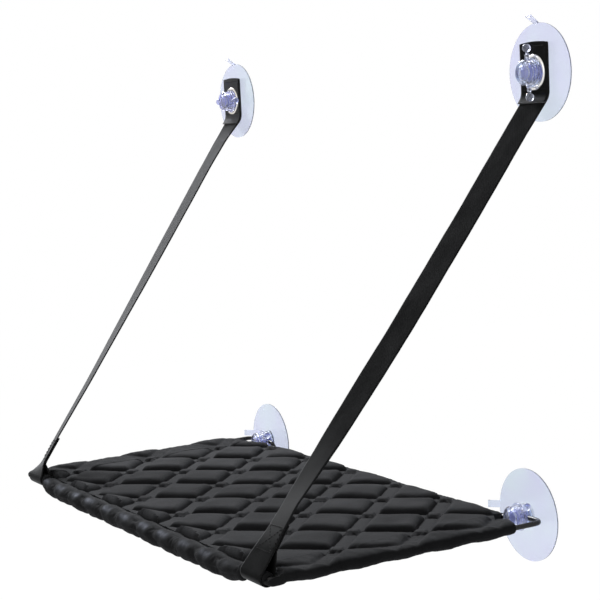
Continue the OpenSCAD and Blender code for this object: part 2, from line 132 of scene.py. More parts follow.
# Straps
WEB_W = 0.038
WEB_T = 0.0016
WEB_MID_H = 0.0052
WEB_TOP = 0.026
BEND_DROP = 0.4035
BEND_R = 0.016
FOOT_SPAN = 0.532
FOOT_R = 0.007
TAIL_GAP = 0.0019
TAIL_RISES = {1: 0.024, -1: 0.015}
TAIL_L = 0.048
HOLE_R = 0.0133
LAYER_GAP = 0.0001
PATCH_W = 0.041
PATCH_TOP = 0.028
PATCH_BOW = 0.0015
SEAM_INSET = 0.0035
SEAM_LOW = 0.020
SEAM_HIGH = TAIL_L - 0.004

# How each strap turns (degrees) and drifts outwards on its way down, by share of its run
STRAP_TURNS = {
    1: [(0, 0), (0.06, 1), (0.45, 1), (0.62, 1.5), (0.72, 4), (0.80, 8), (0.87, 12.5),
        (0.92, 9), (0.96, 3), (1, 0)],
    -1: [(0, 0), (0.05, -5), (0.12, -7), (0.25, -8), (0.40, -9.5), (0.55, -12.5),
         (0.70, -15.5), (0.82, -17), (0.92, -18.5), (0.970, -19), (0.99, -7), (1, 0)],
}
STRAP_DRIFTS = {
    1: [(0, 0), (0.08, 0.0005), (0.25, 0.0036), (0.50, 0.0052), (0.75, 0.0016), (0.86, -0.0016),
        (0.94, 0.0002), (1, 0.0005)],
    -1: [(0, 0), (0.06, 0.0045), (0.14, 0.0052), (0.25, 0.0036), (0.50, 0.0006), (0.75, -0.0012),
         (0.90, 0.0010), (1, 0)],
}

# Studs and wing nuts, from a cup's axis and the glass
STUD_R = 0.0067
STUD_TOP = 0.0194
BOSS_TOP = 0.008
UPPER_SEAT = 0.0096
LOWER_SEAT = 0.0116
NUT_R = 0.01175
NUT_H = 0.0116
NUT_ROUND = 0.0024
NUT_EDGE = 0.0004
FLANGE_R = 0.0135
FLANGE_T = 0.0016
BORE_R = 0.00695
BORE_H = 0.0102
BORE_GROOVE = 0.0006
ARM_FROM = 0.0090
BEAD_REACH = 0.0160
KNOB_REACH = 0.02225
KNOB_R = 0.0039
KNOB_H = 0.0043
THREAD_PITCH = 0.0030
THREAD_DEPTH = 0.0011
THREAD_FROM = 0.0084
CHAMFER = 0.0014

# Colours that several materials share
CLOTH_GREY = (0.036, 0.036, 0.0375)
# Paler grey painted on the quilt's flat bands as their sheen
BAND_SHEEN_GREY = (0.047, 0.047, 0.049)
# Pale blue-grey painted on the crowns of the roll's lumps as highlights
ROLL_HIGHLIGHT = (0.250, 0.262, 0.305)
WEB_BLACK = (0.030, 0.0302, 0.0305)
# Paler colour painted on webbing seen at a low angle, as its sheen
WEB_SHEEN = (0.235, 0.235, 0.237)

# Light and floor
ROOM_TINT = (0.93, 0.96, 1.0)
ROOM_STRENGTH = 0.13
FLOOR_LEVEL = -0.75
FLOOR_REACH = 6
FLOOR_GLOW = 1.055
FLOOR_SHARE = 0.94

# Camera, at the photograph's viewing angle
CAMERA_PLACE = Vector((1.49317, -0.92961, 0.37434))
CAMERA_YAW = math.radians(29.214)
CAMERA_PITCH = math.radians(-5.811)
CAMERA_ROLL = math.radians(-2.926)
CAMERA_LENS = 97.25


def add_object(name, data):
    obj = bpy.data.objects.new(name, data)
    bpy.context.scene.collection.objects.link(obj)
    return obj


def make_camera():
    forward = Vector((-math.cos(CAMERA_YAW) * math.cos(CAMERA_PITCH),
                      math.sin(CAMERA_YAW) * math.cos(CAMERA_PITCH),
                      math.sin(CAMERA_PITCH)))
    data = bpy.data.cameras.new("camera")
    data.lens = CAMERA_LENS
    data.sensor_width = 36
    data.sensor_fit = "HORIZONTAL"
    data.clip_end = 50
    camera = add_object("camera", data)
    aim = forward.to_track_quat("-Z", "Y").to_matrix() @ Matrix.Rotation(CAMERA_ROLL, 3, "Z")
    camera.matrix_world = Matrix.Translation(CAMERA_PLACE) @ aim.to_4x4()
    bpy.context.scene.camera = camera


make_camera()


# Numbers and places

def smooth(t):
    t = np.clip(t, 0, 1)
    return t * t * (3 - 2 * t)


def rise(distance, width):
    """0 at a seam, 1 from width on: steep at the seam, round at the top."""
    s = np.clip(distance / width, 0, 1)
    return (1 - (1 - s) ** 3) ** 0.70


def rounded(distance, length):
    """0 at an end, 1 from length on, along a quarter of a circle."""
    s = np.clip(distance / length, 0, 1)
    return np.sqrt(1 - (1 - s) ** 2)


def waves(x, y, seed, scale):
    """Soft noise from a few sines, mostly between -1 and 1."""
    draw = np.random.default_rng(seed)
    total = np.zeros(np.broadcast(x, y).shape)
    for _ in range(5):
        a = draw.uniform(0, 2 * math.pi)
        k = 2 * math.pi / scale * draw.uniform(0.6, 1.7)
        total += np.sin(k * (math.cos(a) * x + math.sin(a) * y) + draw.uniform(0, 2 * math.pi))
    return total / 2.6


def lengths_along(points):
    """How far along a line of points each of them lies."""
    steps = np.linalg.norm(np.diff(points, axis=0), axis=1)
    return np.concatenate([[0], np.cumsum(steps)])


def read_rows(at, places, rows):
    """The rows that lie at some places, read between given ones."""
    return np.stack([np.interp(at, places, column) for column in np.transpose(rows)], axis=-1)


def circle(count):
    """Evenly spaced angles all round."""
    return np.linspace(0, 2 * math.pi, count, endpoint=False)


def on_frame(x, depth, h):
    """Points of the hanging frame, from x, the depth in front of its rear bar and the height."""
    c, s = math.cos(TILT), math.sin(TILT)
    x, depth, h = np.broadcast_arrays(x, depth, h)
    return np.stack([x, -WIRE_H - depth * c - h * s, h * c - depth * s], axis=-1)


# Meshes

def shade_smooth(mesh):
    mesh.polygons.foreach_set("use_smooth", [True] * len(mesh.polygons))


def mesh_object(name, points, faces):
    mesh = bpy.data.meshes.new(name)
    mesh.from_pydata([tuple(p) for p in points], [], faces)
    mesh.update()
    shade_smooth(mesh)
    return add_object(name, mesh)


def tube_faces(rows, columns):
    """Quads of a closed tube made of rows of points, and the caps of its two ends."""
    faces = []
    for r in range(rows - 1):
        for c in range(columns):
            a, d = r * columns, (c + 1) % columns
            faces.append((a + c, a + d, a + columns + d, a + columns + c))
    faces.append(tuple(range(columns))[::-1])
    faces.append(tuple((rows - 1) * columns + c for c in range(columns)))
    return faces


def tube(name, rings):
    """A closed skin through rings of points."""
    obj = mesh_object(name, rings.reshape(-1, 3), tube_faces(*rings.shape[:2]))
    outward(obj)
    return obj


def outward(obj):
    """Turns every face of a closed skin outwards."""
    mesh = bmesh.new()
    mesh.from_mesh(obj.data)
    bmesh.ops.recalc_face_normals(mesh, faces=mesh.faces)
    mesh.to_mesh(obj.data)
    mesh.free()
    obj.data.update()


def apply_modifiers(obj):
    """Keeps the shape that the object's modifiers give it."""
    graph = bpy.context.evaluated_depsgraph_get()
    shaped = bpy.data.meshes.new_from_object(obj.evaluated_get(graph))
    obj.modifiers.clear()
    obj.data = shaped


def subdivide(obj):
    """Rounds a coarse skin off into a smooth one."""
    modifier = obj.modifiers.new("subdivision", "SUBSURF")
    modifier.levels = 1
    modifier.render_levels = 1
    apply_modifiers(obj)
    shade_smooth(obj.data)
    return obj


def combine(obj, other, operation):
    """Joins another closed skin to a piece, or takes it out of it."""
    modifier = obj.modifiers.new("combined", "BOOLEAN")
    modifier.operation = operation
    modifier.object = other
    modifier.solver = "EXACT"
    apply_modifiers(obj)
    bpy.data.objects.remove(other)


def bore(obj, place, along, radius, length, segments):
    """Takes a round hole along X or Y out of a piece."""
    turned = Matrix.Rotation(math.pi / 2, 4, "Y" if along == "X" else "X")
    mesh = bpy.data.meshes.new("hole")
    body = bmesh.new()
    bmesh.ops.create_cone(body, cap_ends=True, segments=segments, radius1=radius, radius2=radius,
                          depth=length, matrix=Matrix.Translation(place) @ turned)
    body.to_mesh(mesh)
    body.free()
    combine(obj, add_object("hole_cutter", mesh), "DIFFERENCE")


def keep_sharp(obj, degrees):
    """Rounds the shading except over edges sharper than an angle."""
    shade_smooth(obj.data)
    obj.data.set_sharp_from_angle(angle=math.radians(degrees))


# Materials: every colour and bump comes from nodes

class Nodes:
    """A node tree, with short ways to add what a look needs."""

    def __init__(self, tree):
        self.tree = tree

    def add(self, kind, **values):
        node = self.tree.nodes.new(kind)
        for name, value in values.items():
            setattr(node, name, value)
        return node

    def join(self, output, socket):
        self.tree.links.new(output, socket)

    def math(self, operation, a, b):
        node = self.add("ShaderNodeMath", operation=operation)
        for socket, value in zip(node.inputs, (a, b)):
            if isinstance(value, (int, float)):
                socket.default_value = value
            else:
                self.join(value, socket)
        return node.outputs[0]

    def light(self, kind, colour, strength):
        node = self.add(kind)
        node.inputs["Color"].default_value = (*colour, 1)
        node.inputs["Strength"].default_value = strength
        return node.outputs[0]

    def shown(self):
        """1 for the rays that see the background, 0 for those that carry its light."""
        path = self.add("ShaderNodeLightPath").outputs
        seen = self.math("MAXIMUM", path["Is Camera Ray"], path["Is Transmission Ray"])
        return self.math("MAXIMUM", seen, path["Is Glossy Ray"])

    def mix_shaders(self, share, first, second, output):
        mix = self.add("ShaderNodeMixShader")
        for source, socket in zip((share, first, second), mix.inputs):
            self.join(source, socket)
        self.join(mix.outputs[0], output)


class Shader(Nodes):
    """A material's node tree round its main surface node."""

    def __init__(self, name, colour, roughness, **sockets):
        self.material = bpy.data.materials.new(name)
        self.material.use_nodes = True
        super().__init__(self.material.node_tree)
        self.surface = self.tree.nodes["Principled BSDF"]
        self.surface.inputs["Base Color"].default_value = (*colour, 1)
        self.surface.inputs["Roughness"].default_value = roughness
        for socket, value in sockets.items():
            self.surface.inputs[socket.replace("_", " ")].default_value = value
        self.coordinates = self.add("ShaderNodeTexCoord").outputs["Object"]
        self.normal = None

    def mapped(self, turn=(0, 0, 0), source=None):
        node = self.add("ShaderNodeMapping")
        node.inputs["Rotation"].default_value = turn
        self.join(source or self.coordinates, node.inputs["Vector"])
        return node.outputs["Vector"]

    def noise(self, scale, detail):
        node = self.add("ShaderNodeTexNoise")
        node.inputs["Scale"].default_value = scale
        node.inputs["Detail"].default_value = detail
        node.inputs["Roughness"].default_value = 0.55
        self.join(self.coordinates, node.inputs["Vector"])
        return node.outputs["Fac"]

    def wave(self, scale, vector, distortion, direction="X"):
        node = self.add("ShaderNodeTexWave", wave_type="BANDS", bands_direction=direction)
        node.inputs["Scale"].default_value = scale
        node.inputs["Distortion"].default_value = distortion
        node.inputs["Detail Scale"].default_value = 2.0
        self.join(vector, node.inputs["Vector"])
        return node.outputs["Fac"]

    def spread(self, value, low, high, to_low=0.0, to_high=1.0):
        node = self.add("ShaderNodeMapRange")
        for name, number in zip(("From Min", "From Max", "To Min", "To Max"),
                                (low, high, to_low, to_high)):
            node.inputs[name].default_value = number
        self.join(value, node.inputs["Value"])
        return node.outputs["Result"]

    def mixed(self, factor, first, second):
        """A colour between two, each a colour or a socket."""
        node = self.add("ShaderNodeMix", data_type="RGBA")
        self.join(factor, node.inputs["Factor"])
        for socket, value in zip([s for s in node.inputs if s.type == "RGBA"], (first, second)):
            if isinstance(value, tuple):
                socket.default_value = (*value, 1)
            else:
                self.join(value, socket)
        return [s for s in node.outputs if s.type == "RGBA"][0]

    def paint(self, colour):
        self.join(colour, self.surface.inputs["Base Color"])

    def roughen(self, value):
        self.join(value, self.surface.inputs["Roughness"])

    def bump(self, height, strength, distance):
        node = self.add("ShaderNodeBump")
        node.inputs["Strength"].default_value = strength
        node.inputs["Distance"].default_value = distance
        self.join(height, node.inputs["Height"])
        if self.normal is not None:
            self.join(self.normal, node.inputs["Normal"])
        self.normal = node.outputs["Normal"]
        self.join(self.normal, self.surface.inputs["Normal"])


def shade(colour, share):
    return tuple(c * share for c in colour)


# A wave texture of this scale has bands one metre apart
BAND_SCALE = 0.314
RIB_W = 0.0013
TWILL_W = 0.0021


def cloth_material(name, colour, painted_sheen=None, thread=0.0009, turn=0.0):
    """Closely woven polyester: fine threads, soft creases, and a paler painted sheen where its
    points ask.
    """
    s = Shader(name, colour, 0.86, Specular_IOR_Level=0.04,
               Sheen_Weight=0.04, Sheen_Roughness=0.42)
    s.surface.inputs["Sheen Tint"].default_value = (0.82, 0.85, 0.92, 1)
    blotch = s.spread(s.noise(22, 5), 0.3, 0.7)
    tone = s.mixed(blotch, shade(colour, 0.78), shade(colour, 1.25))
    if painted_sheen:
        # Painted sheen and highlights: a point attribute mixes in a paler colour.
        sheen_mask = s.add("ShaderNodeAttribute", attribute_name="painted_sheen").outputs["Fac"]
        fine = s.spread(s.noise(260, 3), 0.35, 0.75, 0.55, 1.0)
        tone = s.mixed(s.math("MULTIPLY", sheen_mask, fine), tone, painted_sheen)
    flecks = s.spread(s.noise(1500, 2), 0.62, 0.74, 0.0, 0.35)
    s.paint(s.mixed(flecks, tone, shade(colour, 2.4)))
    across = s.mapped((0, 0, turn))
    period = BAND_SCALE / thread
    weave = s.math("ADD", s.wave(period, across, 1.5), s.wave(period, across, 1.5, "Y"))
    s.bump(s.noise(90, 4), 0.35, 0.0009)
    s.bump(weave, 0.35, 0.00018)
    return s.material


def webbing_material(name, colour, low_angle):
    """Flat woven webbing: ribs along it with a twill over them, from the strap's own map. It
    turns paler over a range of low viewing angles, a sheen painted into its colour."""
    s = Shader(name, colour, 0.70, Specular_IOR_Level=0.0)
    plan = s.add("ShaderNodeTexCoord").outputs["UV"]
    ribs = s.wave(BAND_SCALE / RIB_W, s.mapped(source=plan), 0.2)
    twill = s.wave(BAND_SCALE / TWILL_W, s.mapped((0, 0, math.radians(38)), plan), 0.3)
    blotch = s.spread(s.noise(35, 4), 0.3, 0.7)
    tone = s.mixed(blotch, shade(colour, 0.8), shade(colour, 1.3))
    weave = s.math("MULTIPLY", ribs, s.spread(twill, 0.2, 0.9, 0.45, 1.0))
    woven = s.mixed(s.spread(weave, 0.55, 1.0, 0.0, 0.55), tone, shade(colour, 2.1))
    facing = s.add("ShaderNodeLayerWeight").outputs["Facing"]
    s.paint(s.mixed(s.spread(facing, *low_angle), woven, WEB_SHEEN))
    s.bump(s.noise(120, 3), 0.2, 0.0006)
    s.bump(weave, 0.7, 0.00035)
    return s.material


def thread_material(name, colour):
    """Twisted sewing thread with a slight gloss."""
    s = Shader(name, colour, 0.6, Specular_IOR_Level=0.08)
    twist = s.wave(900, s.mapped((0.3, 0.2, 0.8)), 2.0)
    s.paint(s.mixed(twist, shade(colour, 0.7), shade(colour, 1.4)))
    s.bump(twist, 0.4, 0.0001)
    return s.material


def clear_material(name, colour, second, roughness, clear, ior, cloud=14):
    """Clear moulded plastic whose tint drifts a little, with faint flow marks."""
    s = Shader(name, colour, roughness, IOR=ior, Specular_IOR_Level=0.5)
    s.surface.inputs["Transmission Weight"].default_value = clear
    drift = s.spread(s.noise(cloud, 3), 0.35, 0.65)
    s.paint(s.mixed(drift, colour, second))
    s.roughen(s.spread(s.noise(160, 3), 0.3, 0.7, roughness * 0.7, roughness * 1.4))
    s.bump(s.noise(60, 3), 0.12, 0.0006)
    return s.material


def wire_material():
    """Steel wire under a glossy black dip coating, with small runs and dull spots."""
    s = Shader("wire_coating", (0.012, 0.012, 0.013), 0.24, Specular_IOR_Level=0.22,
               Coat_Weight=0.15, Coat_Roughness=0.08)
    s.roughen(s.spread(s.noise(140, 4), 0.3, 0.7, 0.16, 0.36))
    s.paint(s.mixed(s.spread(s.noise(500, 3), 0.6, 0.75), (0.006, 0.006, 0.0065),
                    (0.016, 0.016, 0.017)))
    s.bump(s.noise(70, 3), 0.18, 0.0005)
    return s.material


def plated_material():
    """Bright plating on pressed brass, with fine marks and warmer patches."""
    s = Shader("grommet_plating", (0.80, 0.79, 0.77), 0.16, Metallic=1.0)
    s.roughen(s.spread(s.noise(320, 4), 0.3, 0.75, 0.10, 0.30))
    s.paint(s.mixed(s.spread(s.noise(45, 4), 0.4, 0.75), (0.84, 0.83, 0.82),
                    (0.62, 0.58, 0.50)))
    s.bump(s.noise(900, 2), 0.10, 0.0001)
    return s.material


def steel_material():
    """Plain steel of the joiners, hidden in the hems."""
    s = Shader("joiner_steel", (0.42, 0.42, 0.44), 0.4, Metallic=1.0)
    s.roughen(s.spread(s.noise(200, 4), 0.3, 0.7, 0.3, 0.5))
    return s.material


quilt_cloth = cloth_material("quilt_cloth", CLOTH_GREY, BAND_SHEEN_GREY, turn=math.radians(45))
hem_cloth = cloth_material("hem_cloth", shade(CLOTH_GREY, 0.85))
roll_cloth = cloth_material("roll_cloth", shade(CLOTH_GREY, 0.9), ROLL_HIGHLIGHT)
backing_cloth = cloth_material("backing_cloth", shade(CLOTH_GREY, 0.75), thread=0.0012)
webbing = webbing_material("strap_webbing", WEB_BLACK, (0.55, 0.86))
patch_webbing = webbing_material("patch_webbing", shade(WEB_BLACK, 0.9), (0.41, 0.60))
black_thread = thread_material("black_thread", shade(WEB_BLACK, 0.8))
cup_plastic = clear_material("cup_plastic", (0.77, 0.79, 0.99), (0.80, 0.89, 0.99),
                             roughness=0.12, clear=0.90, ior=1.32)
stud_plastic = clear_material("stud_plastic", (0.40, 0.42, 0.93), (0.56, 0.62, 0.97),
                              roughness=0.14, clear=0.35, ior=1.4, cloud=60)
nut_plastic = clear_material("nut_plastic", (0.74, 0.75, 0.98), (0.82, 0.86, 0.99),
                             roughness=0.04, clear=0.86, ior=1.40)
wire_coating = wire_material()
plating = plated_material()
joiner_steel = steel_material()


def dress(obj, material):
    obj.data.materials.clear()
    obj.data.materials.append(material)


def finish_piece(obj, material, slot, body, *nodes):
    """Gives a piece its material, and lets it ride and replace nodes; its slot is not used."""
    dress(obj, material)
    if body:
        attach(obj, body)
    if nodes:
        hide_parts(*nodes)


# Stitches

# Length, gap and radius of a stitch, and how thick it is along its length
FINE_STITCH = (0.0026, 0.0011, 0.00032)
STRONG_STITCH = (0.0028, 0.0014, 0.0004)
DASH = (0.35, 0.9, 1.0, 0.9, 0.35)
DASH_SIDES = 6
DASH_FACES = tube_faces(len(DASH), DASH_SIDES)


def stitches(name, lines, length, gap, radius):
    """Rows of thread stitches along lines of points: each a short round dash that dips in."""
    points, faces = [], []
    for line in lines:
        along = lengths_along(line)
        for i in range(int(along[-1] // (length + gap))):
            start = i * (length + gap) + gap / 2
            at = np.linspace(start, start + length, len(DASH))
            path = read_rows(at, along, line)
            faces += [tuple(len(points) + k for k in face) for face in DASH_FACES]
            points += dash_points(path, radius)
    return mesh_object(name, points, faces)


def dash_points(path, radius):
    """Rings of one stitch, thin at its ends."""
    forward = path[-1] - path[0]
    forward /= np.linalg.norm(forward)
    side = np.cross(forward, [0.0, 0.3, 1.0])
    side /= np.linalg.norm(side)
    up = np.cross(side, forward)
    points = []
    for p, share in zip(path, DASH):
        centre = p + up * (radius * (share - 0.6))
        points += [centre + radius * share * (math.cos(w) * side + math.sin(w) * up)
                   for w in circle(DASH_SIDES)]
    return points


# Quilted mat

def from_bands(u, v):
    """The mat's own x and depth, from places along the two directions of the bands."""
    return (u + v) / math.sqrt(2) + PUFF_X, (u - v) / math.sqrt(2) + PUFF_DEPTH


def quilt_offsets(x, depth):
    """Distances from the nearest puff's middle along the bands, and the places along them."""
    u = (x + depth - PUFF_X - PUFF_DEPTH) / math.sqrt(2)
    v = (x - depth - PUFF_X + PUFF_DEPTH) / math.sqrt(2)
    half = QUILT_PITCH / 2
    return (u + half) % QUILT_PITCH - half, (v + half) % QUILT_PITCH - half, u, v


def hem_distance(x, depth):
    """Distance to the mat's front and rear edges and its cut rear corners."""
    cut = (PAD_CORNER - PAD_REAR) / (PAD_HALF - PAD_CORNER_X)
    corner = (depth - PAD_REAR + cut * (PAD_CORNER_X - np.abs(x))) / math.hypot(1, cut)
    beside = (np.abs(x) > PAD_CORNER_X - 0.02) & (np.abs(x) < PAD_HALF)
    return np.minimum.reduce([PAD_FRONT - depth, depth - PAD_REAR,
                              np.where(beside, corner, 1.0)])


def edge_distance(x, depth):
    """Distance to the nearest of the mat's edges, its two sides among them."""
    return np.minimum(PAD_HALF - np.abs(x), hem_distance(x, depth))


def side_level(x):
    """Height of the cloth's base over a side bar, and how much of the pattern it keeps."""
    at, base, fade = zip(*SLEEVE_TOP)
    return np.interp(np.abs(x), at, base), np.interp(np.abs(x), at, fade)


def quilt_height(x, depth):
    """Height of the quilted cloth over its stitched bands, and how much painted sheen its flat
    bands get.
    """
    a, b, u, v = quilt_offsets(x, depth)
    ta, tb = PUFF_HALF - np.abs(a), PUFF_HALF - np.abs(b)
    inside = (ta > 0) & (tb > 0)
    knot = (ta < 0) & (tb < 0)
    lean = 0.10 * np.sin(u * 71 + 1.3) * a / PUFF_HALF + 0.10 * np.sin(v * 53) * b / PUFF_HALF
    vary = 1 + 0.09 * np.sin(np.round(u / QUILT_PITCH) * 2.3 + np.round(v / QUILT_PITCH) * 3.7)
    crown = 0.86 + 0.14 * (1 - (a / PUFF_HALF) ** 2) * (1 - (b / PUFF_HALF) ** 2) + lean
    puff = PUFF_H * vary * rise(ta, PUFF_WALL) * rise(tb, PUFF_WALL) * crown
    small = KNOT_H * rise(-ta, KNOT_WALL) * rise(-tb, KNOT_WALL) + KNOT_BASE
    between = BAND_SWELL * rise(np.maximum(-ta, -tb), BAND_HALF)
    h = np.where(inside, puff, np.where(knot, small, between))
    near_seam = np.exp(-np.minimum(np.abs(ta), np.abs(tb)) / 0.004)
    pucker = np.sin((u + v) * 2 * math.pi / 0.011) * np.sin((u - v) * 2 * math.pi / 0.0083 + 1)
    h = h + PUCKER_H * near_seam * pucker + WRINKLE_H * waves(x, depth, 3, 0.030) * inside
    # Painted sheen: on the flat bands between the puffs and the knots
    painted_sheen = np.where(inside | knot, 0.0, 1.0) * smooth(np.maximum(-ta, -tb) / 0.002)
    base, fade = side_level(x)
    hem = rise(np.maximum(hem_distance(x, depth), 0), HEM_SLOPE)
    lift = FRONT_LIFT * smooth((depth - PAD_FRONT + FRONT_EASE) / FRONT_EASE)
    lift = lift * smooth((ROLL_HALF - np.abs(x)) / 0.010)
    return base + lift + fade * h * hem, painted_sheen


def lattice():
    """Grid lines across the quilt, close together at the seams and wide apart on a puff."""
    from_seam = np.array([0.0, 0.0007, 0.0016, 0.0029, 0.0046, 0.0070, 0.0105, 0.0150, 0.0200])
    in_band = np.array([0.0022, 0.0048, 0.0075, 0.0102, 0.0128])
    one = np.concatenate([from_seam - PUFF_HALF, [0.0], (PUFF_HALF - from_seam)[::-1],
                          PUFF_HALF + in_band])
    return np.concatenate([one + k * QUILT_PITCH for k in range(-QUILT_ROWS, QUILT_ROWS + 1)])


def save_painted_sheen(obj, values):
    """Keeps how much painted sheen and highlight each point gets, which its material reads."""
    sheen_mask = obj.data.attributes.new("painted_sheen", "FLOAT", "POINT")
    sheen_mask.data.foreach_set("value", values.astype(np.float32))


def cell_corners(grid):
    """The four corners of each cell of a grid, in order round it."""
    return np.stack([grid[:-1, :-1], grid[1:, :-1], grid[1:, 1:], grid[:-1, 1:]], axis=-1)


def quilt_grid():
    """Points and quads of a flat sheet on the quilt's lattice, a little larger than the mat."""
    lines = lattice()
    x, depth = from_bands(*np.meshgrid(lines, lines, indexing="ij"))
    near = edge_distance(x, depth) > -0.02
    index = np.arange(near.size).reshape(near.shape)
    faces = cell_corners(index)[cell_corners(near).all(axis=-1)]
    used, faces = np.unique(faces, return_inverse=True)
    flat = np.stack([x.ravel()[used], depth.ravel()[used], np.zeros(len(used))], axis=-1)
    return flat, faces.reshape(-1, 4)


def cut_to_mat(body):
    """Cuts a flat sheet along the mat's four edges and its two cut rear corners."""
    cut = (PAD_CORNER - PAD_REAR, PAD_HALF - PAD_CORNER_X)
    for place, normal in [((PAD_HALF, 0), (1, 0)), ((-PAD_HALF, 0), (-1, 0)),
                          ((0, PAD_FRONT), (0, 1)), ((0, PAD_REAR), (0, -1)),
                          ((PAD_HALF, PAD_CORNER), (cut[0], -cut[1])),
                          ((-PAD_HALF, PAD_CORNER), (-cut[0], -cut[1]))]:
        bmesh.ops.bisect_plane(body, geom=body.verts[:] + body.edges[:] + body.faces[:],
                               plane_co=(*place, 0), plane_no=(*normal, 0), clear_outer=True)
    bmesh.ops.remove_doubles(body, verts=body.verts, dist=0.0002)


def close_sheet(body):
    """Adds a rim and a flat face to a sheet's edge, and gives the points of both."""
    rim = [e for e in body.edges if e.is_boundary]
    added = bmesh.ops.extrude_edge_only(body, edges=rim)["geom"]
    skirt = {v for v in added if isinstance(v, bmesh.types.BMVert)}
    loop = [e for e in body.edges if e.is_boundary]
    bmesh.ops.triangle_fill(body, edges=loop, use_beauty=True)
    return skirt


def quilt_sheet(name, level, share, closed_to):
    """A quilted sheet of the mat's outline, with its edge turned to another level."""
    body = bmesh.new()
    points, faces = quilt_grid()
    verts = [body.verts.new(p) for p in points]
    for face in faces:
        body.faces.new([verts[i] for i in face])
    cut_to_mat(body)
    skirt = close_sheet(body)
    x, depth = np.array([v.co[:2] for v in body.verts]).T
    below = np.array([v in skirt for v in body.verts])
    height, painted_sheen = quilt_height(x, depth)
    placed = on_frame(x, depth, np.where(below, closed_to, level + share * height))
    for v, p in zip(body.verts, placed):
        v.co = p
    bmesh.ops.recalc_face_normals(body, faces=body.faces)
    mesh = bpy.data.meshes.new(name)
    body.to_mesh(mesh)
    body.free()
    shade_smooth(mesh)
    obj = add_object(name, mesh)
    save_painted_sheen(obj, np.where(below, 0.0, painted_sheen))
    return obj


def quilt_lines():
    """The stitched lines of the quilt, each cut to the mat, on the cloth's height."""
    lines = []
    steps = np.arange(-0.45, 0.45, 0.0012)
    rows = range(-QUILT_ROWS, QUILT_ROWS + 1)
    for crossing, k, side in itertools.product((False, True), rows, (-1, 1)):
        seam = np.full(len(steps), k * QUILT_PITCH + side * PUFF_HALF)
        x, depth = from_bands(seam, steps) if crossing else from_bands(steps, seam)
        keep = edge_distance(x, depth) > 0.002
        if keep.any():
            x, depth = x[keep], depth[keep]
            h = PAD_TOP + quilt_height(x, depth)[0]
            lines.append(on_frame(x, depth, h + 0.0001))
    return lines


quilt = quilt_sheet("quilt_top", PAD_TOP, 1.0, PAD_TOP - PAD_T)
keep_sharp(quilt, 60)
finish_piece(quilt, quilt_cloth, "quilt_fabric", "frame", "quilted_pad")

under_pad = PAD_TOP - PAD_T
backing = quilt_sheet("mat_backing", under_pad - BACKING_GAP, BACKING_RELIEF, under_pad)
finish_piece(backing, backing_cloth, "backing_fabric", "frame", "pad_backing")

quilt_thread = stitches("quilt_stitching", quilt_lines(), *FINE_STITCH)
finish_piece(quilt_thread, black_thread, "quilt_fabric", "frame")


# Hems and sleeves

def closed_curve(points, count):
    """Points spaced along a closed smooth curve through a few given ones."""
    p = np.array(points, float)
    curve = []
    for a, b, c, d in zip(np.roll(p, 1, 0), p, np.roll(p, -1, 0), np.roll(p, -2, 0)):
        for t in np.linspace(0, 1, 12, endpoint=False):
            curve.append(0.5 * (2 * b + (c - a) * t + (2 * a - 5 * b + 4 * c - d) * t ** 2
                                + (3 * b - a - 3 * c + d) * t ** 3))
    curve.append(curve[0])
    along = lengths_along(curve)
    return read_rows(np.linspace(0, along[-1], count, endpoint=False), along, curve)


def around(xs, count):
    """Places along a tube and turns round it, as two grids."""
    return np.meshgrid(xs, circle(count), indexing="ij")


def sleeve_ring(profile, d, side):
    """A side sleeve's section at a depth: slim at its ends and clear of the strap's foot."""
    share = (profile[:, 0] - SLEEVE_INNER) / (SLEEVE_OUTER - SLEEVE_INNER)
    top = np.arange(len(profile)) < np.argmax(profile[:, 0])
    rear = smooth((d - SLEEVE_REAR) / 0.016)
    front = rounded(SLEEVE_FRONT - d, 0.0078)
    past_mat = smooth((d - FOOT_FROM) / FOOT_EASE)
    gather = np.cos(2 * math.pi * (d - 0.016) / GATHER_PITCH)
    inner = SLEEVE_INNER + past_mat * (FOOT_CLEAR - SLEEVE_INNER)
    scallop = SCALLOP * gather * smooth((d - 0.03) / 0.02)
    reach = (0.42 + 0.58 * rear) * (0.72 + 0.28 * front)
    x = inner + share * (SLEEVE_OUTER + scallop - inner) * reach

    depths = np.full(len(x), d)
    pattern = (quilt_height(side * x, depths)[0] - side_level(x)[0]) * smooth((d - 0.026) / 0.012)
    sunk = 0.0035 * smooth((0.2538 - profile[:, 0]) / 0.0033) - 0.0004
    pattern = top * (pattern - sunk * (1 - past_mat))
    slim = 1 - 0.45 * ~top * smooth((d - 0.258) / 0.026)
    swell = slim * (1 + 0.08 * gather * ~top + 0.03 * waves(x, depths, 11 + side, 0.09))
    crease = 0.00022 * waves(x * 0.5, depths * 1.4, 21 + side, 0.014)
    fat = (0.35 + 0.65 * np.sqrt(np.clip((d - SLEEVE_REAR) / 0.010, 0, 1))) * max(front, 0.3)
    h = SLEEVE_MIDDLE + (profile[:, 1] - SLEEVE_MIDDLE) * swell * fat + crease + pattern
    return on_frame(side * x, d, h)


def side_sleeve(side):
    """Padded sleeve round a side bar, which carries on the quilt's pattern."""
    profile = closed_curve(SLEEVE_PROFILE, 72)
    stations = np.concatenate([np.linspace(0.0205, 0.030, 9), np.linspace(0.0315, 0.275, 164),
                               np.linspace(0.276, 0.2965, 20)])
    rings = np.array([sleeve_ring(profile, d, side) for d in stations])
    return subdivide(tube(f"side_sleeve_{SIDES[side]}", rings))


def wire_cover(turn, fall):
    """How far the roll's cloth has to stay from its middle to cover the wire inside it."""
    cover = 0.0041
    away, at = np.hypot(fall, ROLL_OUT), np.arctan2(fall, -ROLL_OUT)
    off = away * np.sin(turn - at)
    reach = away * np.cos(turn - at) + np.sqrt(np.maximum(cover ** 2 - off ** 2, 0))
    return np.where((np.abs(off) < cover) & (np.cos(turn - at) > 0), reach, 0.0)


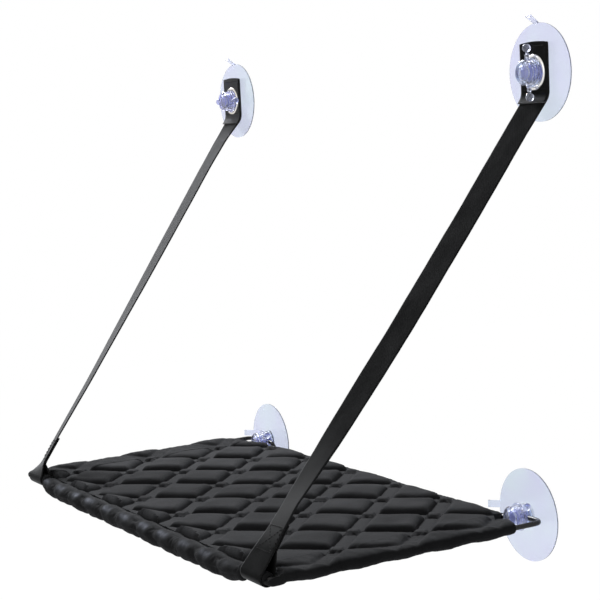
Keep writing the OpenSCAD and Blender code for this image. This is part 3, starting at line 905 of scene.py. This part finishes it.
def front_roll():
    """The gathered roll of cloth round the front bar: lumps parted by creases."""
    xx, ww = around(np.linspace(-ROLL_HALF, ROLL_HALF, 330), 52)
    from_end = ROLL_HALF - np.abs(xx)
    full = smooth(from_end / ROLL_TAPER)
    lean = 0.007 * np.sin(ww + 0.6) + 0.0035 * waves(xx, ww * 0.02, 31, 0.12)
    phase = (xx + lean - GATHER_PITCH / 2) / GATHER_PITCH
    valley = np.abs(np.cos(math.pi * phase))
    strength = 0.85 + 0.35 * np.sin(np.round(phase) * 2.1 + 0.5)
    radius = ROLL_R * (0.74 + 0.26 * full)
    radius -= strength * (ROLL_HOLLOW * valley ** 3 + ROLL_CREASE * valley ** 14)
    pleats = np.abs(waves(xx, ww * 0.005, 41, 0.010))
    radius -= ROLL_PLEAT * pleats * smooth(valley ** 6 * 1.6)
    radius += 0.0006 * waves(xx, ww * 0.014, 43, 0.030)
    radius *= 0.72 + 0.28 * rounded(from_end, 0.004)
    fall = ROLL_FALL * (0.60 + 0.40 * full)
    radius = np.maximum(radius, wire_cover(ww, fall))
    depth = FRAME_DEPTH + ROLL_OUT + radius * np.cos(ww)
    depth = np.maximum(depth, PAD_FRONT - 0.0006)
    obj = tube("front_roll", on_frame(xx, depth, radius * np.sin(ww) - fall))
    save_painted_sheen(obj, roll_painted_highlight(xx, ww, phase, valley).ravel())
    return subdivide(obj)


def roll_painted_highlight(xx, ww, phase, valley):
    """Painted highlight on the roll: strongest on the crowns of its lumps, weaker near its right
    end.
    """
    highlight = np.exp(-((ww - HIGHLIGHT_TURN) / 0.30) ** 2) * smooth((0.80 - valley) / 0.45)
    highlight *= 0.75 + 0.25 * np.sin(np.round(phase) * 1.7 + waves(xx, ww * 0.01, 47, 0.02))
    return highlight * smooth((0.21 - xx) / 0.10 + 0.35)


def foot_sleeve(side):
    """The padded tube under a strap's foot, where the roll stops."""
    xx, ww = around(np.linspace(*FOOT_SLEEVE, 32), 40)
    radius = FOOT_SLEEVE_R + 0.0001 * waves(xx, ww * 0.01, 51 + side, 0.012)
    radius *= 0.7 + 0.3 * rounded(FOOT_SLEEVE[1] - xx, 0.002)
    return tube(f"foot_sleeve_{SIDES[side]}",
                on_frame(side * xx, FRAME_DEPTH + radius * np.cos(ww), radius * np.sin(ww)))


def rear_sleeve():
    """The narrow hem round the rear bar, with its flap to the mat."""
    profile = closed_curve(REAR_PROFILE, 40)
    rings = []
    for x in np.linspace(-REAR_HALF, REAR_HALF, 260):
        share = 0.80 + 0.20 * rounded(REAR_HALF - abs(x), 0.004)
        over_joiner = math.exp(-(x / JOINER_REACH) ** 4)
        gather = 0.06 * math.cos(2 * math.pi * x / GATHER_PITCH) * (1 - over_joiner)
        swell = share * (1 + gather + JOINER_SWELL * over_joiner)
        ripple = 0.0003 * waves(x, profile[:, 0] * 0.3, 61, 0.010)
        d = profile[:, 0] - 0.0010 * over_joiner * smooth((0.006 - profile[:, 0]) / 0.008)
        h = REAR_MIDDLE + (profile[:, 1] - REAR_MIDDLE) * swell + ripple
        rings.append(on_frame(x, d, h))
    return subdivide(tube("rear_sleeve", np.array(rings)))


for side, word in SIDES.items():
    piece = side_sleeve(side)
    finish_piece(piece, hem_cloth, "hem_fabric", "frame", f"side_hem_{word}")

roll = front_roll()
finish_piece(roll, roll_cloth, "hem_fabric", "frame", "front_hem")
for side in SIDES:
    piece = foot_sleeve(side)
    finish_piece(piece, hem_cloth, "hem_fabric", "frame")

piece = rear_sleeve()
finish_piece(piece, hem_cloth, "hem_fabric", "frame", "rear_hem")


# Straps, on the route of the CAD model

FOOT = np.array([-WIRE_H - FRAME_DEPTH * math.cos(TILT), -FRAME_FALL])
BEND = np.array([-WEB_MID_H - BEND_R, BEND_DROP])
RUN_SLOPE = (math.atan2(BEND[0] - FOOT[0], BEND[1] - FOOT[1])
             + math.asin((BEND_R + FOOT_R) / math.dist(BEND, FOOT)))
RUN_UP = np.array([math.sin(RUN_SLOPE), math.cos(RUN_SLOPE)])
RUN_OUT = np.array([-math.cos(RUN_SLOPE), math.sin(RUN_SLOPE)])
HEAD_POINT = BEND - BEND_R * RUN_OUT
FOOT_POINT = FOOT + FOOT_R * RUN_OUT
RUN_LENGTH = math.dist(HEAD_POINT, FOOT_POINT)
ACROSS = np.array([1.0, 0, 0])


def on_bend(radius, turn):
    """A point round the straps' upper bend."""
    return BEND + radius * np.array([math.cos(turn), -math.sin(turn)])


def strap_route(side):
    """Stations of y, z, direction, share of the run and lift, which only the tail that lies
    behind the strap has."""
    tail_rise = TAIL_RISES[side]
    reach = math.hypot(tail_rise, FOOT_R - TAIL_GAP)
    tail_turn = math.acos(FOOT_R / reach) - math.asin((FOOT_R - TAIL_GAP) / reach)

    def on_run(height, direction, lift):
        return (*(FOOT_POINT + height * RUN_UP), direction, 1 - height / RUN_LENGTH, lift)

    route = [(-WEB_MID_H, z, 0.0, 0.0, 0.0)
             for z in np.linspace(UPPER_RISE + WEB_TOP, BEND_DROP + 0.001, 14)]
    route += [(*on_bend(BEND_R, a), a, 0.0, 0.0) for a in np.linspace(0, RUN_SLOPE, 12)]
    route += [on_run(height, RUN_SLOPE, 0.0) for height in np.linspace(RUN_LENGTH - 0.006, 0, 110)]
    for w in np.linspace(0, 1.5 * math.pi - tail_turn, 30)[1:]:
        p = FOOT - FOOT_R * (math.sin(w) * RUN_UP - math.cos(w) * RUN_OUT)
        route.append((*p, RUN_SLOPE - w, 1.0, 0.0))
    route += [on_run(height, RUN_SLOPE - math.pi, TAIL_GAP)
              for height in np.linspace(tail_rise, TAIL_L, 14)]
    return route


def along_strap(table, share):
    """A value of a table that holds it by share of the run, rounded off between its rows."""
    shares, values = zip(*table)
    if not 0 < share < 1:
        return values[0] if share <= 0 else values[-1]
    near = share + np.linspace(-0.008, 0.008, 5)
    return float(np.interp(np.clip(near, 0, 1), shares, values).mean())


def strap_axes(station, side):
    """Middle, width direction and thickness direction of the webbing at a station."""
    y, z, down, share, lift = station
    n = np.array([0, -math.cos(down), math.sin(down)])
    turn = math.radians(along_strap(STRAP_TURNS[side], share)) * (-1 if lift else 1)
    wide = math.cos(turn) * ACROSS + math.sin(turn) * n
    thick = math.cos(turn) * n - math.sin(turn) * ACROSS
    x = np.interp(z, (FOOT_POINT[1], HEAD_POINT[1]), (FOOT_SPAN / 2, UPPER_SPAN / 2))
    x += along_strap(STRAP_DRIFTS[side], share)
    return np.array([x, y, z]) + lift * thick, wide, thick


def web_ring(width):
    """Cross-section of webbing: across and through it, with round selvedges."""
    across = np.sin(np.linspace(-math.pi / 2, math.pi / 2, 20))
    edge = (1 - np.abs(across) ** 24) ** 0.5
    bulge = 1 + 0.10 * np.exp(-((np.abs(across) - 0.93) / 0.04) ** 2)
    top = np.stack([across * width / 2, WEB_T / 2 * (0.25 + 0.75 * edge) * bulge], axis=-1)
    bottom = top[::-1] * [1, -1]
    return np.concatenate([top, bottom])


def web_piece(name, side, rings, across, lengths):
    """Webbing through rings, with the grommet's hole and a map of its weave."""
    obj = tube(f"{name}_{SIDES[side]}", np.array(rings) * [side, 1, 1])
    weave = obj.data.uv_layers.new(name="weave")
    for loop in obj.data.loops:
        row, column = divmod(loop.vertex_index, len(across))
        weave.data[loop.index].uv = (across[column], lengths[row])
    middle = (side * UPPER_SPAN / 2, -0.005, UPPER_RISE)
    bore(obj, middle, "Y", HOLE_R, length=0.06, segments=64)
    keep_sharp(obj, 50)
    return obj


def strap(side):
    ring = web_ring(WEB_W)
    axes = [strap_axes(station, side) for station in strap_route(side)]
    lengths = lengths_along([middle for middle, wide, thick in axes])
    rings = []
    for (middle, wide, thick), length in zip(axes, lengths):
        wave = 1 + 0.006 * math.sin(length * 95 + side) + 0.004 * math.sin(length * 260)
        rings.append(middle + wave * ring[:, :1] * wide + ring[:, 1:] * thick)
    return web_piece("webbing_strap", side, rings, ring[:, 0], lengths)


def patch(side):
    """The patch sewn over a strap's top end, with a bowed top edge."""
    top = UPPER_RISE + PATCH_TOP
    lift = WEB_T + LAYER_GAP
    stations = [(-WEB_MID_H - lift, z, 0.0) for z in np.linspace(top, BEND_DROP + 0.001, 24)]
    stations += [(*on_bend(BEND_R - lift, a), a) for a in np.linspace(0, RUN_SLOPE, 10)]
    y, z, a = stations[-1]
    stations.append((y - 0.003 * math.sin(a), z - 0.003 * math.cos(a), a))
    ring = web_ring(PATCH_W)
    bowed_top = top - PATCH_BOW * (ring[:, 0] / (PATCH_W / 2)) ** 2
    rings = []
    for y, z, down in stations:
        n = np.array([0, -math.cos(down), math.sin(down)])
        points = np.array([UPPER_SPAN / 2, y, z]) + ring[:, :1] * ACROSS + ring[:, 1:] * n
        points[:, 2] = np.minimum(points[:, 2], bowed_top)
        rings.append(points)
    return web_piece("sewn_patch", side, rings, ring[:, 0], [top - z for y, z, down in stations])


def legs(corners, count):
    """The straight legs between corners, each as evenly spaced points."""
    return [np.linspace(start, stop, count) for start, stop in zip(corners, corners[1:])]


def strap_seams(side):
    """Sewn lines on the strap's foot, a box with a cross, on its room face."""
    run = [s for s in strap_route(side) if s[4] == 0.0 and abs(s[2] - RUN_SLOPE) < 1e-9][::-1]
    heights = [math.dist(s[:2], FOOT_POINT) for s in run]
    axes = [np.ravel(strap_axes(s, side)) for s in run]
    edge = WEB_W / 2 - SEAM_INSET
    corners = [(-edge, SEAM_HIGH), (edge, SEAM_HIGH), (edge, SEAM_LOW), (-edge, SEAM_LOW),
               (edge, SEAM_HIGH), (-edge, SEAM_HIGH), (edge, SEAM_LOW)]
    lines = []
    for leg in legs(corners, 16):
        line = []
        for x, height in leg:
            middle, wide, thick = read_rows(height, heights, axes).reshape(3, 3)
            line.append((middle + x * wide + (WEB_T / 2 + LAYER_GAP) * thick) * [side, 1, 1])
        lines.append(line)
    return lines


def patch_seams(side):
    """Sewn lines round the patch's edge."""
    y = -WEB_MID_H - 1.5 * WEB_T - 2 * LAYER_GAP
    x, low, high = 0.0175, BEND_DROP + 0.001, UPPER_RISE + 0.0235
    corners = [(-x, low), (-x, high), (x, high), (x, low), (-x, low)]
    return [[(side * (UPPER_SPAN / 2 + x), y, z) for x, z in leg] for leg in legs(corners, 12)]


def blend_strap(obj):
    """Bakes the strap's placement into its points."""
    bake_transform(obj)


for side, word in SIDES.items():
    piece = strap(side)
    finish_piece(piece, webbing, "webbing", None, f"strap_{word}")
    blend_strap(piece)
    seam = stitches(f"strap_stitching_{word}", strap_seams(side), *STRONG_STITCH)
    finish_piece(seam, black_thread, "webbing", "frame")
    piece = patch(side)
    finish_piece(piece, patch_webbing, "patch_webbing", "window_mounts", f"strap_patch_{word}")
    seam = stitches(f"patch_stitching_{word}", patch_seams(side), *STRONG_STITCH)
    finish_piece(seam, black_thread, "patch_webbing", "window_mounts")


# Studs and wing nuts

def on_glass(points, x, z, turn):
    """Turns points given across and along a cup's axis into their place at that cup."""
    a, b, h = points[..., 0], points[..., 1], points[..., 2]
    c, s = math.cos(turn), math.sin(turn)
    return np.stack([x + a * c - b * s, -h, z + a * s + b * c], axis=-1)


def revolved(name, profile, place, wobble=None):
    """A closed skin turned round a cup's axis from a closed profile of radii and heights."""
    profile = np.array(profile, float)
    r, w = around(profile[:, 0], 96)
    h = np.broadcast_to(profile[:, 1:], r.shape)
    if wobble is not None:
        r = wobble(r, w, h)
    points = np.stack([r * np.cos(w), r * np.sin(w), h], axis=-1)
    return tube(name, on_glass(points, *place))


def arc(centre, radius, start, stop, steps):
    """Points of a profile's round edge, between two angles."""
    return [(centre[0] + radius * math.cos(math.radians(a)),
             centre[1] + radius * math.sin(math.radians(a)))
            for a in np.linspace(start, stop, steps)]


def nut_profile(seat):
    """Half section of the nut: flange, cap with a round rim and dished end, threaded bore."""
    top = seat + NUT_H
    edge, roof = NUT_EDGE, seat + BORE_H
    outside = arc((FLANGE_R - edge, seat + edge), edge, -90, 0, 5)
    outside += arc((FLANGE_R - edge, seat + FLANGE_T - edge), edge, 0, 90, 5)
    outside += arc((NUT_R + edge, seat + FLANGE_T + edge), edge, 270, 180, 5)
    outside += arc((NUT_R - 0.0002 - NUT_ROUND, top - NUT_ROUND), NUT_ROUND, 0, 90, 12)
    outside += [(0.0064, top), (0.0054, top - 0.0005), (0.0040, top - 0.0008),
                (0.0004, top - 0.0009)]
    inside = [(0.0004, roof), (BORE_R - BORE_GROOVE, roof)]
    for h in np.linspace(roof - BORE_GROOVE, seat + BORE_GROOVE, 44):
        groove = 0.5 + 0.5 * math.cos(2 * math.pi * (h - seat) / THREAD_PITCH)
        inside.append((BORE_R + BORE_GROOVE * groove, h))
    inside.append((BORE_R + BORE_GROOVE, seat))
    return inside + outside


def nut_wing(name, seat, place):
    """An arm that narrows into a round knob, with a small bead where they meet."""
    rings = []
    c, s = np.cos(circle(40)), np.sin(circle(40))
    arm = np.linspace(ARM_FROM, 0.0186, 14)
    ball_end = np.linspace(0.0190, KNOB_REACH + KNOB_R - 0.00005, 26)
    for reach in np.concatenate([arm, ball_end]):
        taper = np.clip((reach - 0.0105) / 0.0075, 0, 1)
        bead = 0.0006 * max(0.0, 1 - ((reach - BEAD_REACH) / 0.0013) ** 2)
        ball = math.sqrt(max(0.0, KNOB_R ** 2 - (reach - KNOB_REACH) ** 2))
        tall = max(0.0030 - 0.0019 * taper ** 0.8 + bead, ball)
        wide = max(0.0016 - 0.0004 * taper + bead, ball)
        if reach > KNOB_REACH:
            tall = wide = ball
        power = 0.62 if ball < 0.0012 else 1.0
        across = wide * np.sign(c) * np.abs(c) ** power
        along = tall * np.sign(s) * np.abs(s) ** power
        rings.append(np.stack([np.full(40, reach), across, seat + KNOB_H + along], axis=-1))
    return tube(name, on_glass(np.array(rings), *place))


def wing_nut(name, seat, x, z, degrees):
    turn = math.radians(degrees)
    nut = revolved(name, nut_profile(seat), (x, z, turn))
    for k in (0, 1):
        combine(nut, nut_wing(f"{name}_wing_{k}", seat, (x, z, turn + k * math.pi)), "UNION")
    keep_sharp(nut, 40)
    return nut


def stud(name, x, z):
    """The stud with its coarse moulded thread and chamfered end."""
    heights = np.concatenate([np.linspace(0.0040, BOSS_TOP, 4),
                              np.linspace(THREAD_FROM, STUD_TOP, 90)])
    profile = [(0.0002, 0.0038)] + [(STUD_R, h) for h in heights] + [(0.0002, STUD_TOP + 0.0001)]

    def thread(r, w, h):
        turn = (h / THREAD_PITCH - w / (2 * math.pi)) % 1.0
        crest = smooth(np.minimum(turn, 1 - turn) / 0.30)
        depth = THREAD_DEPTH * crest * smooth((h - THREAD_FROM) / 0.001)
        chamfer = CHAMFER * smooth((h - (STUD_TOP - CHAMFER)) / CHAMFER)
        return np.where(r > 0.001, np.minimum(r - depth, STUD_R - chamfer), r)

    return revolved(name, profile, (x, z, 0.0), thread)


# Each nut's place, the height that it sits at and its turn in degrees
NUT_PLACES = {
    "upper_left": (-UPPER_SPAN / 2, UPPER_RISE, UPPER_SEAT, 0),
    "upper_right": (UPPER_SPAN / 2, UPPER_RISE, UPPER_SEAT, 93),
    "lower_left": (-LOWER_SPAN / 2, 0.0, LOWER_SEAT, 28),
    "lower_right": (LOWER_SPAN / 2, 0.0, LOWER_SEAT, 36),
}
for corner, (x, z, seat, degrees) in NUT_PLACES.items():
    piece = wing_nut(f"nut_{corner}", seat, x, z, degrees)
    finish_piece(piece, nut_plastic, "nut_plastic", f"nut_{corner}", f"wing_nut_{corner}")
    piece = stud(f"threaded_stud_{corner}", x, z)
    if corner.startswith("lower"):
        bore(piece, (x, -WIRE_H, 0), "X", WIRE_HOLE_R, length=0.03, segments=40)
        keep_sharp(piece, 40)
    finish_piece(piece, stud_plastic, "clear_plastic", "window_mounts", f"stud_{corner}")


# Carried-over nodes

NODE_FINISHES = {
    "suction_cup": cup_plastic,
    "grommet": plating,
    "frame_wire": wire_coating,
    "wire_joiner": joiner_steel,
}
for name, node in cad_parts.items():
    for word, material in NODE_FINISHES.items():
        if word in name:
            dress(node, material)


# Light, floor and background

def make_world():
    """Dim room light for the object, and plain white where the background is seen."""
    world = bpy.data.worlds.new("studio")
    bpy.context.scene.world = world
    world.use_nodes = True
    world.node_tree.nodes.clear()
    n = Nodes(world.node_tree)
    room = n.light("ShaderNodeBackground", ROOM_TINT, ROOM_STRENGTH)
    white = n.light("ShaderNodeBackground", (1, 1, 1), 1.0)
    n.mix_shaders(n.shown(), room, white, n.add("ShaderNodeOutputWorld").inputs["Surface"])


def area_lamp(name, place, target, size, power, colour):
    data = bpy.data.lights.new(name, "AREA")
    data.size = size
    data.energy = power
    data.color = colour
    lamp = add_object(name, data)
    lamp.location = place
    lamp.rotation_euler = (Vector(target) - Vector(place)).to_track_quat("-Z", "Y").to_euler()


def make_floor():
    """A pale floor far below, white in the picture and still holding a soft shadow."""
    r, z = FLOOR_REACH, FLOOR_LEVEL
    floor = mesh_object("floor", [(-r, -r, z), (r, -r, z), (r, r, z), (-r, r, z)], [(0, 1, 2, 3)])
    s = Shader("floor_white", (0.85, 0.85, 0.85), 0.9)
    white = s.light("ShaderNodeEmission", (1, 1, 1), FLOOR_GLOW)
    output = s.tree.nodes["Material Output"].inputs["Surface"]
    s.mix_shaders(s.math("MULTIPLY", s.shown(), FLOOR_SHARE), s.surface.outputs[0], white, output)
    dress(floor, s.material)


make_world()
make_floor()
area_lamp("top_light", place=(-1.35, 0.15, 1.35), target=(0, -0.15, 0.0), size=0.8, power=52,
          colour=(0.95, 0.97, 1.0))
area_lamp("room_light", place=(0.9, -2.2, 1.3), target=(0, -0.1, 0.15), size=1.8, power=6,
          colour=(1.0, 0.98, 0.95))
bpy.context.scene.view_settings.view_transform = "Standard"
